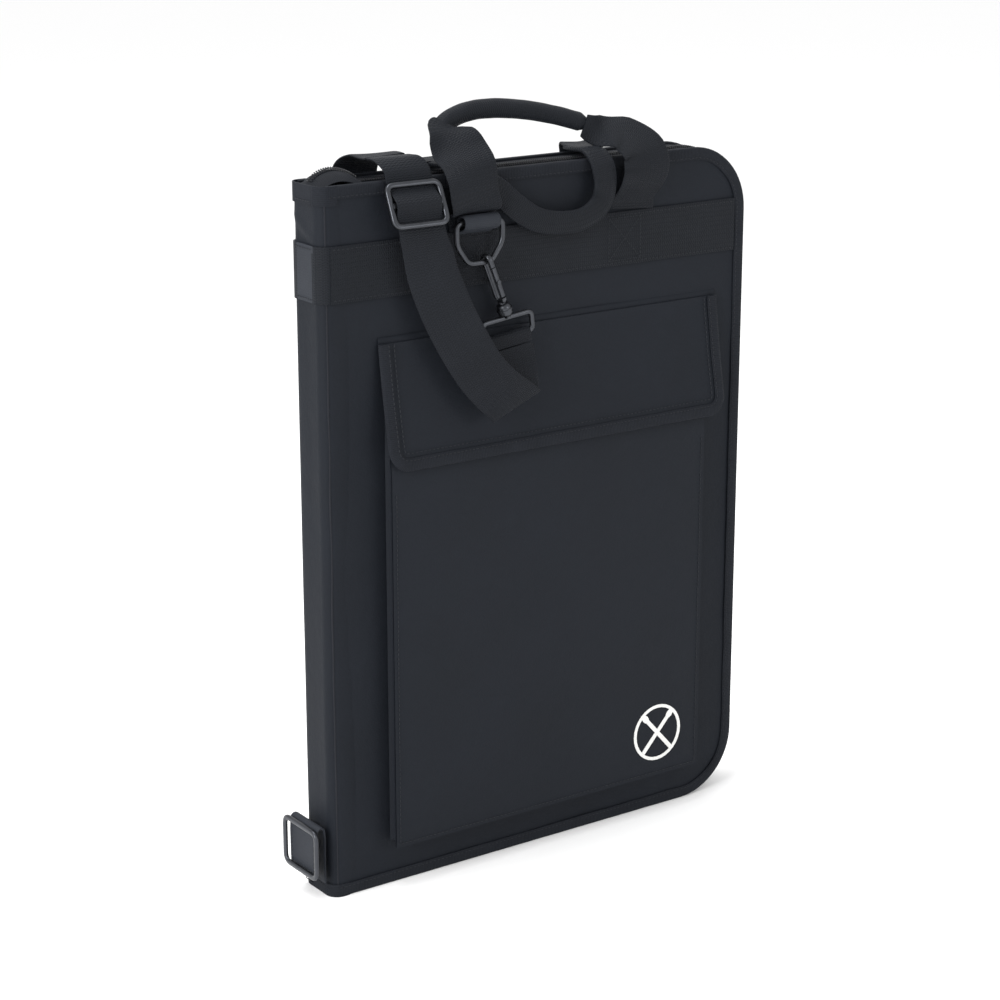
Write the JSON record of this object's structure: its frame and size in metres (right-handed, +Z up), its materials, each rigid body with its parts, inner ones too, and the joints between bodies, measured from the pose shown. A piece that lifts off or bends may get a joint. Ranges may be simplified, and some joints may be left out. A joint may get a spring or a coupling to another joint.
{
  "type": "drum stick bag",
  "caption": "Slim book-type drum stick bag with a zip round three sides, two handles, flap pocket, web band and clip-on shoulder strap, standing upright.",
  "frame": {"origin": "bottom centre of the closed bag's whole box, with the strap hanging", "axes": "+X from the spine to the zip side, -Y the front with the pocket, +Z up"},
  "size_m": [0.3786, 0.0866, 0.5445],
  "materials": {
    "canvas": "matt coated polyester canvas",
    "edging": "ribbed binding tape",
    "webbing": "woven polypropylene webbing",
    "lining": "smooth nylon lining",
    "padding": "stiffened foam board in cloth",
    "hardware": "satin dark grey",
    "zip_coil": "nylon coil and woven tape",
    "zip_metal": "black painted slider",
    "mesh": "knitted mesh",
    "print": "screen print",
    "hook_and_loop": "hook and loop tape"
  },
  "bodies": {
    "rear_cover": {"rear_shell": "canvas", "rear_board": "padding", "rear_lining": "lining", "rear_binding": "edging", "rear_zip_half": "zip_coil", "rear_band": "webbing", "stick_sleeve_tall": "lining", "stick_sleeve_short": "lining", "shoulder_strap_rear": "webbing"},
    "spine": {"spine_shell": "canvas", "spine_board": "padding", "spine_lining": "lining", "spine_band": "webbing", "zip_end_top": "zip_coil", "zip_end_bottom": "zip_coil", "anchor_loop": "webbing"},
    "front_cover": {"front_shell": "canvas", "front_board": "padding", "front_lining": "lining", "front_binding": "edging", "front_zip_half": "zip_coil", "front_band": "webbing", "inner_mesh_pocket": "mesh", "pocket_panel": "canvas", "pocket_bellows": "canvas", "pocket_hem": "edging", "pocket_loop_patch": "hook_and_loop", "flap_seam_tape": "edging", "printed_mark": "print", "front_dring_tab": "webbing", "shoulder_strap_front": "webbing"},
    "pocket_flap": {"flap_panel": "canvas", "flap_binding": "edging", "flap_hook_patch": "hook_and_loop"},
    "front_handle": {"front_handle_grip": "webbing", "front_handle_leg_left": "webbing", "front_handle_leg_right": "webbing"},
    "rear_handle": {"rear_handle_grip": "webbing", "rear_handle_leg_left": "webbing", "rear_handle_leg_right": "webbing"},
    "front_dring": {"front_dring": "hardware"},
    "snap_hook": {"hook_body": "hardware"},
    "hook_gate": {"hook_gate": "hardware"},
    "hook_eye": {"hook_swivel_eye": "hardware"},
    "strap_slider": {"strap_slider": "hardware"},
    "anchor_frame": {"anchor_frame": "hardware"},
    "zip_slider_upper": {"zip_slider_upper": "zip_metal"},
    "zip_slider_lower": {"zip_slider_lower": "zip_metal"},
    "zip_pull_upper": {"zip_pull_upper": "zip_metal"},
    "zip_pull_lower": {"zip_pull_lower": "zip_metal"}
  },
  "joints": [
    {"name": "spine_fold", "type": "hinge", "parent": "rear_cover", "child": "spine", "pos_m": [-0.1743, 0.03543, 0.25], "axis": [0, 0, -1], "range_deg": [0, 90], "deforming": ["shoulder_strap_rear"]},
    {"name": "cover_fold", "type": "hinge", "parent": "spine", "child": "front_cover", "pos_m": [-0.1743, -0.00457, 0.25], "axis": [0, 0, -1], "range_deg": [0, 90]},
    {"name": "flap_hinge", "type": "hinge", "parent": "front_cover", "child": "pocket_flap", "pos_m": [0.0137, -0.00577, 0.391], "axis": [-1, 0, 0], "range_deg": [0, 100]},
    {"name": "front_handle_swing", "type": "hinge", "parent": "front_cover", "child": "front_handle", "pos_m": [0.0127, -0.00437, 0.498], "axis": [1, 0, 0], "range_deg": [0, 100], "deforming": ["front_handle_leg_left", "front_handle_leg_right"]},
    {"name": "rear_handle_lift", "type": "hinge", "parent": "rear_cover", "child": "rear_handle", "pos_m": [-0.0023, 0.03523, 0.498], "axis": [-1, 0, 0], "range_deg": [0, 16], "deforming": ["rear_handle_leg_left", "rear_handle_leg_right"]},
    {"name": "dring_swing", "type": "hinge", "parent": "front_cover", "child": "front_dring", "pos_m": [-0.0553, -0.01317, 0.4672], "axis": [-1, 0, 0], "range_deg": [0, 60], "deforming": ["shoulder_strap_front"]},
    {"name": "hook_swing", "type": "hinge", "parent": "front_dring", "child": "snap_hook", "pos_m": [-0.0488, -0.01317, 0.4393], "axis": [-1, 0, 0], "range_deg": [0, 80]},
    {"name": "hook_gate_hinge", "type": "hinge", "parent": "snap_hook", "child": "hook_gate", "pos_m": [-0.03906, -0.01747, 0.41519], "axis": [-0.9272, 0, -0.3746], "range_deg": [0, 8], "stiffness_Nm_per_rad": 0.01},
    {"name": "hook_swivel", "type": "hinge", "parent": "snap_hook", "child": "hook_eye", "pos_m": [-0.03494, -0.01317, 0.40499], "axis": [-0.3746, 0, 0.9272], "range_deg": [-5, 5]},
    {"name": "strap_adjust", "type": "slide", "parent": "front_cover", "child": "strap_slider", "axis": [0, -0.4067, -0.9135], "range_m": [0, 0.01]},
    {"name": "anchor_swing", "type": "hinge", "parent": "spine", "child": "anchor_frame", "pos_m": [-0.1863, 0.01693, 0.054], "axis": [0, 1, 0], "range_deg": [0, 60]},
    {"name": "zip_upper_slide", "type": "slide", "parent": "rear_cover", "child": "zip_slider_upper", "axis": [0, 0, 1], "range_m": [0, 0.18]},
    {"name": "zip_lower_slide", "type": "slide", "parent": "rear_cover", "child": "zip_slider_lower", "axis": [0, 0, -1], "range_m": [0, 0.17]},
    {"name": "zip_pull_upper_swing", "type": "hinge", "parent": "zip_slider_upper", "child": "zip_pull_upper", "pos_m": [0.1893, 0.01543, 0.2626], "axis": [0, -1, 0], "range_deg": [0, 90]},
    {"name": "zip_pull_lower_swing", "type": "hinge", "parent": "zip_slider_lower", "child": "zip_pull_lower", "pos_m": [0.1893, 0.01543, 0.2326], "axis": [0, -1, 0], "range_deg": [0, 90]}
  ],
  "couplings": [
    {"joint": "hook_swing", "follows": "flap_hinge", "ratio": 0.8}
  ]
}
